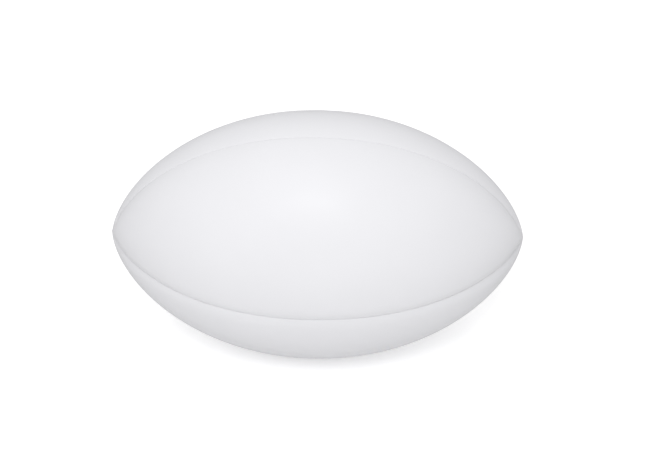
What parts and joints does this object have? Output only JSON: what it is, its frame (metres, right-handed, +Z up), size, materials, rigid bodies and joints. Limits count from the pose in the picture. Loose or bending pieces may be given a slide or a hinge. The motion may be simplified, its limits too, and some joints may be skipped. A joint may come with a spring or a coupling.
{
  "type": "rugby ball",
  "caption": "Plain white prolate ball of sewn crowned panels on cloth backing, round an inflatable bladder with a needle valve.",
  "frame": {"origin": "middle of the ball", "axes": "+X along the ball's long axis, +Z up with the ball lying at rest, the front panel faces -Y and looks 33.75 degrees up"},
  "size_m": [0.2982, 0.1784, 0.178],
  "materials": {
    "cover": "smooth white synthetic leather, satin",
    "cloth_ply": "woven cotton ply with bonding rubber",
    "thread": "waxed twisted polyester",
    "bladder": "matt black rubber",
    "valve": "moulded dark grey rubber"
  },
  "bodies": {
    "root": {"cover_front": "cover", "cover_top": "cover", "cover_back": "cover", "cover_bottom": "cover", "ply_outer_front": "cloth_ply", "ply_outer_top": "cloth_ply", "ply_outer_back": "cloth_ply", "ply_outer_bottom": "cloth_ply", "ply_inner_front": "cloth_ply", "ply_inner_top": "cloth_ply", "ply_inner_back": "cloth_ply", "ply_inner_bottom": "cloth_ply", "thread_front_top": "thread", "thread_top_back": "thread", "thread_back_bottom": "thread", "thread_bottom_front": "thread", "bladder": "bladder", "valve_backing": "cloth_ply", "valve_patch": "bladder", "valve_body": "valve", "valve_plug": "valve"}
  },
  "joints": []
}
